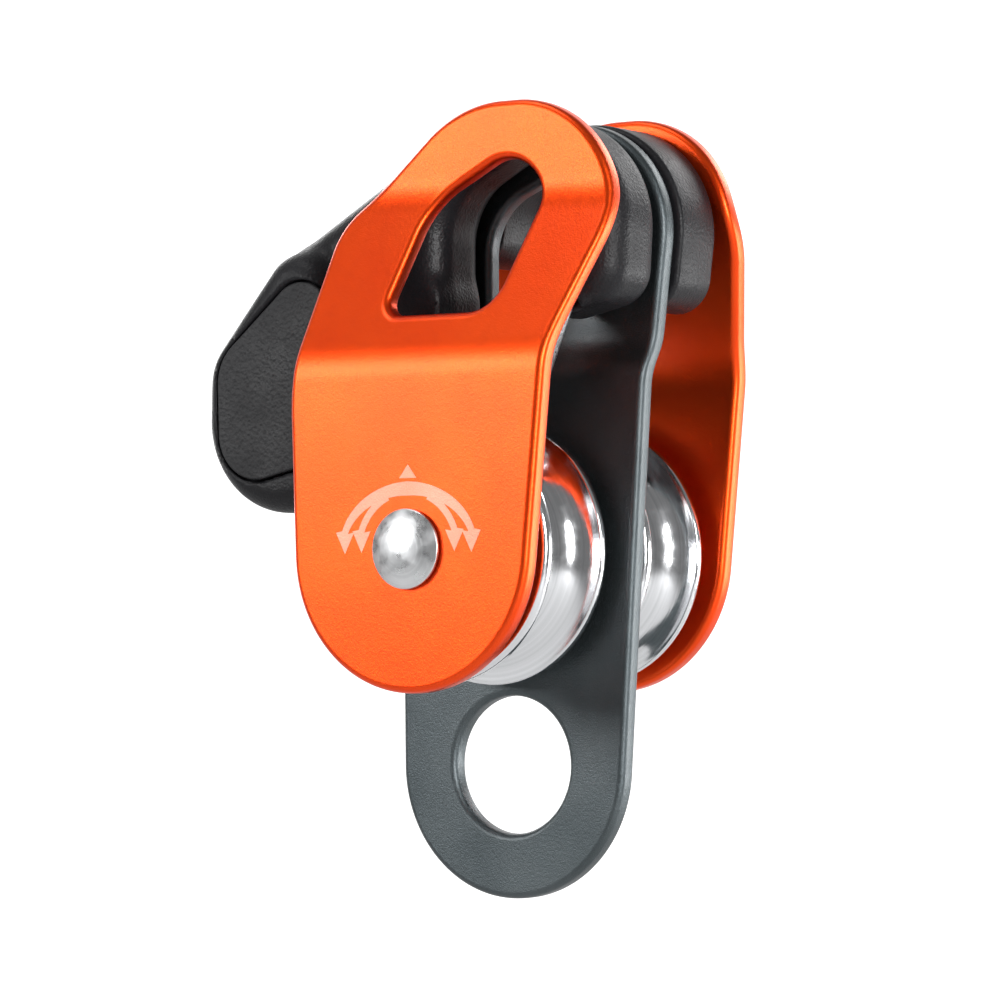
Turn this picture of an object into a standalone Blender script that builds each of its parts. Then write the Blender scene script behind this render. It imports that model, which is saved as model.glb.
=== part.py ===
"""Double rope pulley with two sheaves side by side and a sprung, toothed cam with a thumb lever.

Drawing coordinates are millimetres from the axle: x to the right, z up, y from the middle plane to the
rear. The world origin is the connector's seat in the upper eye, which lies at UPPER_EYE on the drawing.
"""

import math

import bmesh
import bpy
from mathutils import Matrix, Vector

for old_object in list(bpy.data.objects):
    bpy.data.objects.remove(old_object, do_unlink=True)

MM = 0.001
GAP = 0.3

# Plates and chambers
PLATE = 3.0
CHAMBER = 21.3
PLATE_EDGE = 0.7
SIDE_FOLD = (25.0, 48.0, 10.0)
CENTRE_FOLD = (24.5, 28.5, 1.9)
FOLD_SOFTNESS = 1.6

CENTRE_FACE = PLATE / 2
SIDE_INNER = CENTRE_FACE + CHAMBER
SIDE_OUTER = SIDE_INNER + PLATE
CHAMBER_MID = CENTRE_FACE + CHAMBER / 2

# Places on the drawing
UPPER_EYE = (8.9, 46.9)
LOWER_EYE = (0.0, -29.2)
LOWER_EYE_RADIUS = 9.5
LEVER_PIVOT = (13.2, 36.4)
CROSS_PIN = (-8.8, 26.4)
STOP_PIN = (-3.5, 22.4)
SPACER_RIGHT = (18.9, 38.2)
SPACER_LEFT = (-9.5, 45.0)

# Axle stack, radii; the heads have a wall under their dome, and the shank's end is set into the rear one
AXLE = 3.9
SLEEVE = 5.5
BUSH = 7.2
SPACER = 9.0
RIVET_HEAD = 5.4
RIVET_DOME = 1.3
FRONT_HEAD_WALL = 0.3
REAR_HEAD_WALL = 1.2
SHANK_END = 0.6
SPACER_RIVET = 1.5

# Sheaves
SHEAVE = 18.2
SHEAVE_WIDTH = 14.9
GROOVE_RADIUS = 5.9
GROOVE_FLOOR = 13.0
SHEAVE_RIM = 0.9

# Lever and cam: depths of their fronts and rears, edges and pins
LEVER_FRONT = -12.4
ARCH_REAR = 0.1
ARCH_EDGE = 1.2
BODY_FRONT = -12.0
BODY_REAR = -2.1
PADDLE_FRONT = -16.0
PADDLE_REAR = -2.6
PADDLE_EDGE = 2.2
LEVER_CUT_FRONT = PADDLE_FRONT - 2
CAM_THICKNESS = 5.1
CAM_FRONT = -CHAMBER_MID - CAM_THICKNESS / 2
CAM_REAR = -CHAMBER_MID + CAM_THICKNESS / 2
PIN = 2.0
PIN_HEAD = 3.0
PIN_HEAD_DEPTH = 1.2
CROSS_PIN_RADIUS = 1.2
CROSS_PIN_REAR = -3.8
STOP_PIN_RADIUS = 1.2
STOP_PIN_FRONT = -6.2
FLANGE = 3.6
FLANGE_REAR = CAM_REAR + GAP + 1.1
COIL = 3.1
COIL_WIRE = 0.4
COIL_TURNS = 2.5
HUB_BORE_REAR = -3.6
INSERT_THICKNESS = 1.1
CAM_SLOT_GAP = 0.9
TOOTH_HEIGHT = 1.0
TOOTH_RADIUS = 0.75
TOOTH_ROOT = 0.4
TOOTH_SPACING = 1.7
TOOTH_ANGLES = (-106.0, -98.5, -91.0, -83.5, -76.0)
CAM_FACE = (3.2, 41.0, 21.6)

# Outlines, each a belt around circles (x, z, radius), run counter-clockwise.
# A negative radius is a circle that the belt passes on its other side, which makes a hollow.
SIDE_OUTLINE = [
    (0.0, 0.0, 19.3),
    (51.6, 22.0, -30.0),
    (10.3, 44.7, 16.0),
    (7.9, 41.9, 18.8),
    (-8.9, 40.4, 9.0),
    (10.0, 19.5, 30.0),
]
SIDE_EYE = [(-3.6, 34.0, 2.4), (7.4, 36.6, 5.0), (8.9, 46.9, 5.9), (4.6, 41.2, 9.0)]
CENTRE_OUTLINE = [
    (0.0, -29.2, 18.4),
    (52.5, 20.0, -31.0),
    (8.6, 43.6, 15.4),
    (6.6, 41.0, 18.0),
    (-8.0, 40.0, 9.0),
    (10.0, 15.0, 29.0),
]
CENTRE_EYE = [
    (-2.4, 34.2, 2.6),
    (0.2, 33.6, 2.0),
    (9.8, 35.2, -6.4),
    (13.2, 43.6, 1.6),
    (8.9, 46.9, 5.9),
    (3.9, 41.5, 8.9),
]
ARCH_OUTLINE = [
    (13.2, 36.4, 4.8),
    (18.6, 38.2, 5.4),
    (9.0, 43.8, 15.3),
    (4.9, 40.8, 19.3),
    (-24.5, 35.5, 9.3),
    (-31.0, 32.5, 2.5),
    (-8.2, 34.5, 3.2),
    (4.4, 42.6, -9.4),
    (8.9, 47.4, -7.3),
    (14.3, 43.2, -1.8),
]
BODY_OUTLINE = [
    (-6.6, 22.2, 1.6),
    (-8.2, 34.3, 3.2),
    (-24.0, 33.0, 4.0),
    (-26.0, 22.0, 4.0),
]
PADDLE_OUTLINE = [
    (-27.3, 36.0, 6.0),
    (-34.6, 23.9, 8.3),
    (-29.8, 19.0, 13.2),
]
INSERT_OUTLINE = [
    (-23.6, 17.2, 4.6),
    (-25.9, 32.6, 5.2),
    (-33.5, 24.0, 6.9),
    (-33.4, 17.2, 6.8),
]
CAM_OUTLINE = [
    (13.2, 36.4, 4.0),
    (1.5, 37.5, -7.0),
    (-9.4, 26.8, 2.8),
    (-6.8, 23.6, 2.4),
    CAM_FACE,
    (10.0, 22.1, 1.6),
]
SPACER_OUTLINE = [
    (18.9, 38.2, 5.2),
    (9.3, 43.8, 15.4),
    (7.0, 41.0, 18.2),
    (-9.5, 45.0, 4.4),
    (4.6, 43.5, -9.7),
    (8.9, 46.9, -6.4),
]

COLOURS = {
    "anodised": ((0.83, 0.14, 0.01), 0.35, 0.9),
    "grey_anodised": ((0.12, 0.15, 0.15), 0.45, 0.9),
    "bright": ((0.75, 0.76, 0.78), 0.18, 1.0),
    "steel": ((0.55, 0.55, 0.56), 0.3, 1.0),
    "black_plastic": ((0.02, 0.02, 0.022), 0.5, 0.0),
    "bronze": ((0.55, 0.33, 0.13), 0.35, 1.0),
    "white_plastic": ((0.75, 0.75, 0.72), 0.5, 0.0),
}

parts = bpy.data.collections.new("rope_pulley")
cutters = bpy.data.collections.new("cutters")
bpy.context.scene.collection.children.link(parts)
bpy.context.scene.collection.children.link(cutters)


def make_material(label):
    colour, roughness, metallic = COLOURS[label]
    material = bpy.data.materials.new(label)
    material.use_nodes = True
    shader = material.node_tree.nodes["Principled BSDF"]
    shader.inputs["Base Color"].default_value = (*colour, 1.0)
    shader.inputs["Roughness"].default_value = roughness
    shader.inputs["Metallic"].default_value = metallic
    return material


materials = {label: make_material(label) for label in COLOURS}


def world(x, y, z):
    """A drawing point in the world's metres."""
    return Vector(((x - UPPER_EYE[0]) * MM, y * MM, (z - UPPER_EYE[1]) * MM))


def belt(circles, step=12.0):
    """Points of the closed belt around directed circles: tangent lines joined by arcs."""
    directions = []
    for (x1, z1, r1), (x2, z2, r2) in zip(circles, circles[1:] + circles[:1]):
        span = math.hypot(x2 - x1, z2 - z1)
        turn = math.asin((r2 - r1) / span)
        directions.append(math.atan2(z2 - z1, x2 - x1) - turn)
    points = []
    for index, (x, z, radius) in enumerate(circles):
        start, end = directions[index - 1], directions[index]
        sweep = (end - start) % math.tau
        if radius < 0:
            sweep -= math.tau
        count = max(1, math.ceil(abs(math.degrees(sweep)) / step))
        for k in range(count + 1):
            angle = start + sweep * k / count
            points.append((x + radius * math.sin(angle), z - radius * math.cos(angle)))
    return points


def circle(centre, radius, sides=24):
    turns = [math.tau * k / sides for k in range(sides)]
    return [(centre[0] + radius * math.cos(a), centre[1] + radius * math.sin(a)) for a in turns]


def finish(obj, label, collection=parts):
    for other in list(obj.users_collection):
        other.objects.unlink(obj)
    collection.objects.link(obj)
    if collection is cutters:
        obj.hide_render = True
        obj.display_type = "WIRE"
    else:
        obj.data.materials.clear()
        obj.data.materials.append(materials[label])
    return obj


def mesh_from_curve(name, curve):
    """The curve's mesh, closed by welding its caps."""
    guide = bpy.data.objects.new(name, curve)
    bpy.context.scene.collection.objects.link(guide)
    depsgraph = bpy.context.evaluated_depsgraph_get()
    mesh = bpy.data.meshes.new_from_object(guide.evaluated_get(depsgraph))
    bpy.data.objects.remove(guide, do_unlink=True)
    form = bmesh.new()
    form.from_mesh(mesh)
    bmesh.ops.remove_doubles(form, verts=form.verts, dist=0.00001)
    bmesh.ops.recalc_face_normals(form, faces=form.faces)
    form.to_mesh(mesh)
    form.free()
    return mesh


def cut_from_flat(
    name, loops, front, rear, pivot=(0.0, 0.0), edge=0.0, smooth=1, label="steel", collection=parts
):
    """A solid of the given outline and holes between two depths, with rounded edges."""
    curve = bpy.data.curves.new(name + "_outline", "CURVE")
    curve.dimensions = "2D"
    curve.fill_mode = "BOTH"
    curve.extrude = ((rear - front) / 2 - edge) * MM
    curve.bevel_depth = edge * MM
    curve.bevel_resolution = smooth
    curve.offset = -edge * MM
    for loop in loops:
        spline = curve.splines.new("POLY")
        spline.points.add(len(loop) - 1)
        for point, (x, z) in zip(spline.points, loop):
            point.co = ((x - pivot[0]) * MM, (z - pivot[1]) * MM, 0.0, 1.0)
        spline.use_cyclic_u = True
    mesh = mesh_from_curve(name + "_outline", curve)
    mesh.transform(Matrix.Rotation(math.radians(90.0), 4, "X"))
    obj = bpy.data.objects.new(name, mesh)
    obj.location = world(pivot[0], (front + rear) / 2, pivot[1])
    return finish(obj, label, collection)


def fold(obj, low, high, shift, pivot_z=0.0):
    """Folds a flat plate: it steps by shift in depth between the heights low and high."""
    slope = shift / (high - low)

    def step_at(z):
        # Each fold line is softened to an arc-like blend over FOLD_SOFTNESS on both sides.
        total = 0.0
        for line, sign in ((low, slope), (high, -slope)):
            reach = z - line
            if reach >= FOLD_SOFTNESS:
                total += sign * reach
            elif reach > -FOLD_SOFTNESS:
                total += sign * (reach + FOLD_SOFTNESS) ** 2 / (4 * FOLD_SOFTNESS)
        return total

    form = bmesh.new()
    form.from_mesh(obj.data)
    for line in (low, high):
        for k in range(-2, 3):
            height = (line + FOLD_SOFTNESS * k / 2 - pivot_z) * MM
            bmesh.ops.bisect_plane(
                form,
                geom=form.verts[:] + form.edges[:] + form.faces[:],
                plane_co=(0, 0, height),
                plane_no=(0, 0, 1),
                dist=0.000001,
            )
    for vertex in form.verts:
        vertex.co.y += step_at(vertex.co.z / MM + pivot_z) * MM
    form.to_mesh(obj.data)
    form.free()


def turned(name, profile, pivot=(0.0, 0.0), steps=32, label="steel", collection=parts):
    """A solid turned about a depth-wise axis. The profile lists (radius, y), rear to front on its outside."""
    mesh = bpy.data.meshes.new(name)
    count = len(profile)
    closed = all(radius > 0 for radius, _ in profile)
    links = [(k, (k + 1) % count) for k in range(count if closed else count - 1)]
    mesh.from_pydata([(radius * MM, 0, y * MM) for radius, y in profile], links, [])
    obj = bpy.data.objects.new(name, mesh)
    screw = obj.modifiers.new("turn", "SCREW")
    screw.axis = "Z"
    screw.steps = steps
    screw.render_steps = steps
    screw.use_merge_vertices = True
    screw.merge_threshold = 0.00001
    screw.use_smooth_shade = False
    obj.rotation_euler = (math.radians(-90.0), 0, 0)
    obj.location = world(pivot[0], 0.0, pivot[1])
    return finish(obj, label, collection)


def tube(inner, outer, front, rear):
    return [(outer, rear), (outer, front), (inner, front), (inner, rear)]


def rod(radius, front, rear):
    return [(0.0, rear), (radius, rear), (radius, front), (0.0, front)]


def join(obj, other, operation):
    step = obj.modifiers.new(operation.lower(), "BOOLEAN")
    step.operation = operation
    step.object = other
    step.solver = "EXACT"


def bore(obj, name, centre, radius, front, rear, steps=24):
    join(obj, turned(name, rod(radius, front, rear), centre, steps, collection=cutters), "DIFFERENCE")


def build_side_plates():
    for name, side in (("front_side_plate", -1), ("rear_side_plate", 1)):
        depths = sorted((side * SIDE_INNER, side * SIDE_OUTER))
        loops = [belt(SIDE_OUTLINE), belt(SIDE_EYE, 15.0)[::-1], circle((0.0, 0.0), AXLE + GAP)[::-1]]
        plate = cut_from_flat(name, loops, *depths, edge=PLATE_EDGE, label="anodised")
        low, high, shift = SIDE_FOLD
        fold(plate, low, high, -side * shift)


def build_centre_plate():
    holes = [
        belt(CENTRE_EYE, 15.0),
        circle((0.0, 0.0), AXLE + GAP),
        circle(LOWER_EYE, LOWER_EYE_RADIUS, 36),
        circle(LEVER_PIVOT, PIN + GAP, 16),
        circle(STOP_PIN, STOP_PIN_RADIUS + GAP, 12),
        circle(SPACER_LEFT, SPACER_RIVET + GAP, 12),
        circle(SPACER_RIGHT, SPACER_RIVET + GAP, 12),
    ]
    loops = [belt(CENTRE_OUTLINE)] + [hole[::-1] for hole in holes]
    depths = (-CENTRE_FACE, CENTRE_FACE)
    plate = cut_from_flat("centre_plate", loops, *depths, edge=PLATE_EDGE, label="grey_anodised")
    fold(plate, *CENTRE_FOLD)


def build_axle():
    dome = [
        (RIVET_HEAD * math.sin(angle), RIVET_DOME * math.cos(angle))
        for angle in [math.pi / 2 * k / 4 for k in range(5)]
    ]
    front = -SIDE_OUTER - GAP
    head = [(r, front - h - FRONT_HEAD_WALL) for r, h in dome[::-1]]
    rear = SIDE_OUTER + GAP
    end = rear + SHANK_END
    turned("axle", [(0.0, end), (AXLE, end), (AXLE, front), (RIVET_HEAD, front)] + head, label="bright")
    cap = [(r, rear + REAR_HEAD_WALL + h) for r, h in dome]
    bottom = [(AXLE + GAP, rear), (AXLE + GAP, end + GAP), (0.0, end + GAP)]
    turned("axle_rear_head", cap + [(RIVET_HEAD, rear)] + bottom, label="bright")


def sheave_profile(middle):
    half = SHEAVE_WIDTH / 2
    centre = GROOVE_FLOOR + GROOVE_RADIUS
    reach = math.acos((centre - SHEAVE) / GROOVE_RADIUS)
    groove = [
        (centre - GROOVE_RADIUS * math.cos(a), GROOVE_RADIUS * math.sin(a))
        for a in [reach * (1 - 2 * k / 12) for k in range(13)]
    ]
    outside = [(SHEAVE - SHEAVE_RIM, half), (SHEAVE, half - SHEAVE_RIM)]
    outside += groove + [(SHEAVE, SHEAVE_RIM - half), (SHEAVE - SHEAVE_RIM, -half)]
    inside = [(BUSH + GAP, -half), (BUSH + GAP, half)]
    return [(radius, y + middle) for radius, y in outside + inside]


def build_sheaves():
    half = SHEAVE_WIDTH / 2
    for name, side in (("front", -1), ("rear", 1)):
        middle = side * CHAMBER_MID
        turned(name + "_sheave", sheave_profile(middle), steps=48, label="bright")
        turned(name + "_bush", tube(SLEEVE + GAP, BUSH, middle - half, middle + half), label="bronze")
        turned(name + "_sleeve", tube(AXLE + GAP, SLEEVE, middle - half, middle + half), label="steel")
        for place, toward in (("outer", side), ("inner", -side)):
            near, far = half + GAP, CHAMBER / 2 - GAP
            ends = sorted((middle + toward * near, middle + toward * far))
            turned(f"{name}_{place}_spacer", tube(AXLE + GAP, SPACER, *ends), label="white_plastic")


def build_lever():
    def form(name, circles, front, rear, edge=0.0, smooth=1, collection=cutters):
        return cut_from_flat(
            name, [belt(circles)], front, rear, LEVER_PIVOT, edge, smooth, "black_plastic", collection
        )

    lever = form("thumb_lever", ARCH_OUTLINE, LEVER_FRONT, ARCH_REAR, ARCH_EDGE, collection=parts)
    join(lever, form("lever_body", BODY_OUTLINE, BODY_FRONT, BODY_REAR), "UNION")
    join(lever, form("lever_paddle", PADDLE_OUTLINE, PADDLE_FRONT, PADDLE_REAR, PADDLE_EDGE, 2), "UNION")
    insert_rear = PADDLE_FRONT + INSERT_THICKNESS
    pocket = [(x, z, r + GAP) for x, z, r in INSERT_OUTLINE]
    join(lever, form("insert_pocket", pocket, LEVER_CUT_FRONT, insert_rear + GAP), "DIFFERENCE")
    slot = [(x, z, r + CAM_SLOT_GAP) for x, z, r in CAM_OUTLINE]
    join(lever, form("cam_slot", slot, LEVER_CUT_FRONT, CAM_REAR + GAP), "DIFFERENCE")
    bore(lever, "flange_recess", LEVER_PIVOT, FLANGE + GAP, LEVER_CUT_FRONT, HUB_BORE_REAR, 36)
    bore(lever, "hub_bore", LEVER_PIVOT, PIN + GAP, LEVER_CUT_FRONT, ARCH_REAR + 2)
    cross_floor = CROSS_PIN_REAR + GAP
    bore(lever, "cross_pin_bore", CROSS_PIN, CROSS_PIN_RADIUS + GAP, LEVER_CUT_FRONT, cross_floor, 12)
    form("grip_insert", INSERT_OUTLINE, PADDLE_FRONT, insert_rear, 0.2, 0, parts)


def build_cam():
    loops = [belt(CAM_OUTLINE, 6.0), circle(CROSS_PIN, CROSS_PIN_RADIUS + GAP, 12)[::-1]]
    cam = cut_from_flat("toothed_cam", loops, CAM_FRONT, CAM_REAR, LEVER_PIVOT, label="steel")
    hole, recess = PIN + GAP, PIN_HEAD + GAP
    floor = CAM_FRONT + PIN_HEAD_DEPTH + GAP
    start, end = CAM_REAR + 1, CAM_FRONT - 1
    stepped = [(0.0, start), (hole, start), (hole, floor), (recess, floor), (recess, end), (0.0, end)]
    join(cam, turned("cam_bore", stepped, LEVER_PIVOT, 24, collection=cutters), "DIFFERENCE")
    teeth = bmesh.new()
    x, z, radius = CAM_FACE
    for row, degrees in enumerate(TOOTH_ANGLES):
        angle = math.radians(degrees)
        outward = Vector((math.cos(angle), 0, math.sin(angle)))
        tilt = Vector((0, 0, 1)).rotation_difference(outward).to_matrix().to_4x4()
        length = TOOTH_HEIGHT + TOOTH_ROOT
        for across in (-1.0, 0.0, 1.0) if row % 2 == 0 else (-0.5, 0.5):
            foot = Vector((x - LEVER_PIVOT[0], across * TOOTH_SPACING, z - LEVER_PIVOT[1]))
            foot += outward * (radius - TOOTH_ROOT)
            bmesh.ops.create_cone(
                teeth,
                cap_ends=True,
                segments=6,
                radius1=TOOTH_RADIUS * MM,
                radius2=0.1 * MM,
                depth=length * MM,
                matrix=Matrix.Translation((foot + outward * length / 2) * MM) @ tilt,
            )
    mesh = bpy.data.meshes.new("cam_teeth")
    teeth.to_mesh(mesh)
    teeth.free()
    spikes = bpy.data.objects.new("cam_teeth", mesh)
    spikes.location = world(LEVER_PIVOT[0], -CHAMBER_MID, LEVER_PIVOT[1])
    join(cam, finish(spikes, "steel", cutters), "UNION")
    turned("cam_cross_pin", rod(CROSS_PIN_RADIUS, CAM_FRONT + GAP, CROSS_PIN_REAR), CROSS_PIN, 12, "steel")


def build_lever_pin():
    rear = CENTRE_FOLD[2] + CENTRE_FACE - 0.2
    front = CAM_FRONT
    shoulder = front + PIN_HEAD_DEPTH
    profile = [(0.0, rear), (PIN, rear), (PIN, shoulder), (PIN_HEAD, shoulder), (PIN_HEAD, front), (0.0, front)]
    turned("lever_pin", profile, LEVER_PIVOT, 24, "bright")
    turned("cam_flange", tube(PIN + GAP, FLANGE, CAM_REAR + GAP, FLANGE_REAR), LEVER_PIVOT, 36, "bright")
    turned("stop_pin", rod(STOP_PIN_RADIUS, STOP_PIN_FRONT, CENTRE_FACE - 0.2), STOP_PIN, 12, "steel")


def build_spring():
    curve = bpy.data.curves.new("lever_spring", "CURVE")
    curve.dimensions = "3D"
    curve.fill_mode = "FULL"
    curve.bevel_depth = COIL_WIRE * MM
    curve.bevel_resolution = 2
    curve.use_fill_caps = True
    spline = curve.splines.new("POLY")
    first = FLANGE_REAR + GAP + COIL_WIRE
    pitch = (HUB_BORE_REAR - GAP - COIL_WIRE - first) / COIL_TURNS
    per_turn = 18
    count = int(COIL_TURNS * per_turn)
    spline.points.add(count)
    for k, point in enumerate(spline.points):
        angle = math.tau * k / per_turn
        y = first + pitch * k / per_turn
        point.co = (COIL * math.cos(angle) * MM, y * MM, COIL * math.sin(angle) * MM, 1.0)
    spring = bpy.data.objects.new("lever_spring", mesh_from_curve("lever_spring_path", curve))
    spring.location = world(LEVER_PIVOT[0], 0.0, LEVER_PIVOT[1])
    finish(spring, "steel")


def build_rear_spacer():
    front = CENTRE_FACE + CENTRE_FOLD[2] + GAP
    rear = SIDE_INNER - SIDE_FOLD[2] - GAP
    holes = [circle(at, SPACER_RIVET + GAP, 12)[::-1] for at in (SPACER_LEFT, SPACER_RIGHT)]
    loops = [belt(SPACER_OUTLINE)] + holes
    cut_from_flat("rear_arch_spacer", loops, front, rear, edge=0.5, smooth=0, label="black_plastic")
    for name, at in (("left", SPACER_LEFT), ("right", SPACER_RIGHT)):
        start = CENTRE_FOLD[2] - CENTRE_FACE + 0.1
        turned(f"spacer_rivet_{name}", rod(SPACER_RIVET, start, rear - GAP), at, 12, "steel")


build_side_plates()
build_centre_plate()
build_axle()
build_sheaves()
build_lever()
build_cam()
build_lever_pin()
build_spring()
build_rear_spacer()
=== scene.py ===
import math

import bpy
import numpy as np
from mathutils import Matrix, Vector
from mathutils.geometry import delaunay_2d_cdt


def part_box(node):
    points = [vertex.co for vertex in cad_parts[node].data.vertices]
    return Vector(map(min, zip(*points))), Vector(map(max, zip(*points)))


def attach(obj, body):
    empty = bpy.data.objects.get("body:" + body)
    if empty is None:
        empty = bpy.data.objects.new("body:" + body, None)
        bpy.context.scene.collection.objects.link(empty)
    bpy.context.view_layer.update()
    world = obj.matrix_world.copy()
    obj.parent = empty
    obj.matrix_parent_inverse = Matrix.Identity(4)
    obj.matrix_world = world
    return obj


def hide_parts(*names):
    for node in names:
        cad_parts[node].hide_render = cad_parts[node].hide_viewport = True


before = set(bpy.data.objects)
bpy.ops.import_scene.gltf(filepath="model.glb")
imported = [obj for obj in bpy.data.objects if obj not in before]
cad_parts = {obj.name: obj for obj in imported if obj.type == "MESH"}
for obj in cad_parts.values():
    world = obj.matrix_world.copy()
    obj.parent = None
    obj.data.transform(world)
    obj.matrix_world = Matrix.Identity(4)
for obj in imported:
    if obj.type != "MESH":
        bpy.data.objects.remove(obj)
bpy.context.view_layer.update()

print("frame loaded:", len(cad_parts), "nodes")

# Shapes are drawn in millimetres from the axle's middle: x right, y to the rear, z up.
mm = 0.001
axleLow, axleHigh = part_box("axle")
axleMiddle = np.array([(axleLow.x + axleHigh.x) / 2, 0.0, (axleLow.z + axleHigh.z) / 2])


def drawn(node):
    # A node's lowest and highest corners on the drawing
    return [(np.array(corner) - axleMiddle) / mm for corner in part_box(node)]


def middle(node):
    low, high = drawn(node)
    return (low + high) / 2


# Outlines are belts round circles (x, z, radius), counter-clockwise; a negative radius makes a hollow.
# Dimensions in the pieces' dictionaries are millimetres, and angles are degrees.


def beltRuns(circles):
    # For each circle: where its arc starts, how far it turns, and the heading of the straight run after it
    c = np.array(circles, float)
    step = np.roll(c, -1, axis=0) - c
    heading = np.arctan2(step[:, 1], step[:, 0]) - np.arcsin(step[:, 2] / np.hypot(step[:, 0], step[:, 1]))
    start = np.roll(heading, 1)
    sweep = (heading - start) % (2 * np.pi)
    sweep = np.where(c[:, 2] < 0, sweep - 2 * np.pi, sweep)
    return c, start, sweep, heading


def beltLine(circles, spacing=0.4):
    # Points and outward normals along a belt: centre + radius (sin a, -cos a) on its arcs, and even steps
    # on its straight runs
    c, start, sweep, heading = beltRuns(circles)
    points, normals = [], []
    for k in range(len(c)):
        steps = max(3, math.ceil(abs(c[k, 2] * sweep[k]) / spacing))
        angle = start[k] + sweep[k] * np.linspace(0, 1, steps + 1)
        side = np.stack([np.sin(angle), -np.cos(angle)], 1)
        points.append(c[k, :2] + c[k, 2] * side)
        normals.append(side)
        following = (k + 1) % len(c)
        side = np.array([np.sin(heading[k]), -np.cos(heading[k])])
        first = c[k, :2] + c[k, 2] * side
        last = c[following, :2] + c[following, 2] * side
        steps = max(1, math.ceil(np.hypot(*(last - first)) / spacing))
        share = np.linspace(0, 1, steps + 1)[1:-1, None]
        points.append(first + share * (last - first))
        normals.append(np.repeat(side[None], len(share), 0))
    points, normals = np.concatenate(points), np.concatenate(normals)
    apart = np.hypot(*(points - np.roll(points, 1, axis=0)).T) > spacing * 0.05
    return points[apart], normals[apart]


def ringLine(centre, radius, spacing=0.4):
    steps = max(24, math.ceil(2 * np.pi * radius / spacing))
    angle = np.arange(steps) * 2 * np.pi / steps
    side = np.stack([np.cos(angle), np.sin(angle)], 1)
    return np.array(centre) + radius * side, side


def beltDistance(circles, flat):
    # Signed distance to a belt: the nearest of its arcs and straight runs, negative inside
    c, start, sweep, heading = beltRuns(circles)
    nearest = np.full(len(flat), 1e9)
    for k in range(len(c)):
        reach = flat - c[k, :2]
        facing = 1.0 if c[k, 2] > 0 else -1.0
        angle = np.arctan2(facing * reach[:, 0], -facing * reach[:, 1])
        turned = (facing * (angle - start[k])) % (2 * np.pi)
        distance = facing * (np.hypot(reach[:, 0], reach[:, 1]) - abs(c[k, 2]))
        nearer = (turned <= abs(sweep[k])) & (abs(distance) < abs(nearest))
        nearest = np.where(nearer, distance, nearest)
    for k in range(len(c)):
        following = (k + 1) % len(c)
        side = np.array([np.sin(heading[k]), -np.cos(heading[k])])
        along = np.array([np.cos(heading[k]), np.sin(heading[k])])
        first = c[k, :2] + c[k, 2] * side
        length = (c[following, :2] + c[following, 2] * side - first) @ along
        reach = flat - first
        share = reach @ along
        distance = reach @ side
        nearer = (share >= 0) & (share <= length) & (abs(distance) < abs(nearest))
        nearest = np.where(nearer, distance, nearest)
    return nearest


def addPiece(name, points, faces, body, stands, material):
    mesh = bpy.data.meshes.new(name)
    mesh.from_pydata(np.asarray(points) * mm + axleMiddle, [], faces)
    mesh.validate()
    mesh.shade_smooth()
    piece = bpy.data.objects.new(name, mesh)
    bpy.context.scene.collection.objects.link(piece)
    mesh.materials.append(material)
    if stands:
        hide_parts(*stands)
    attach(piece, body)
    return piece


def gridFaces(rows, columns, wrapRows=False, offset=0):
    # Quads of a grid of points whose columns close round
    i = np.arange(rows if wrapRows else rows - 1)[:, None]
    j = np.arange(columns)[None]
    below, right = (i + 1) % rows, (j + 1) % columns
    corners = [i * columns + j, i * columns + right, below * columns + right, below * columns + j]
    return np.stack(np.broadcast_arrays(*corners), -1).reshape(-1, 4) + offset


def filleted(corners, steps=6):
    # A closed line through corners (a, b, fillet), each cut by an arc that touches both sides
    corners = np.array(corners, float)
    line = []
    for k in range(len(corners)):
        here, fillet = corners[k, :2], corners[k, 2]
        back = corners[k - 1, :2] - here
        ahead = corners[(k + 1) % len(corners), :2] - here
        back, ahead = back / np.hypot(*back), ahead / np.hypot(*ahead)
        if fillet <= 0:
            line.append(here[None])
            continue
        half = math.acos(np.clip(back @ ahead, -1, 1)) / 2
        middleWay = (back + ahead) / np.hypot(*(back + ahead))
        centre = here + middleWay * fillet / math.sin(half)
        first = here + back * fillet / math.tan(half) - centre
        last = here + ahead * fillet / math.tan(half) - centre
        sweep = math.atan2(first[0] * last[1] - first[1] * last[0], first @ last)
        angle = sweep * np.linspace(0, 1, steps + 1)
        turn = np.stack([np.cos(angle), -np.sin(angle), np.sin(angle), np.cos(angle)], -1).reshape(-1, 2, 2)
        line.append(centre + turn @ first)
    return np.concatenate(line)


def insideLoops(flat, loops):
    # Even-odd test: how many edges of all the loops a ray to the right crosses
    crossings = np.zeros(len(flat), int)
    for loop in loops:
        a, b = loop, np.roll(loop, -1, axis=0)
        for part in np.array_split(np.arange(len(flat)), max(1, len(flat) // 4000)):
            x, z = flat[part, 0][:, None], flat[part, 1][:, None]
            spans = (a[:, 1] > z) != (b[:, 1] > z)
            rise = np.where(b[:, 1] == a[:, 1], 1.0, b[:, 1] - a[:, 1])
            crossings[part] += (spans & (x < a[:, 0] + (z - a[:, 1]) * (b[:, 0] - a[:, 0]) / rise)).sum(1)
    return crossings % 2 == 1


narrowFlat = 0.6


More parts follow.
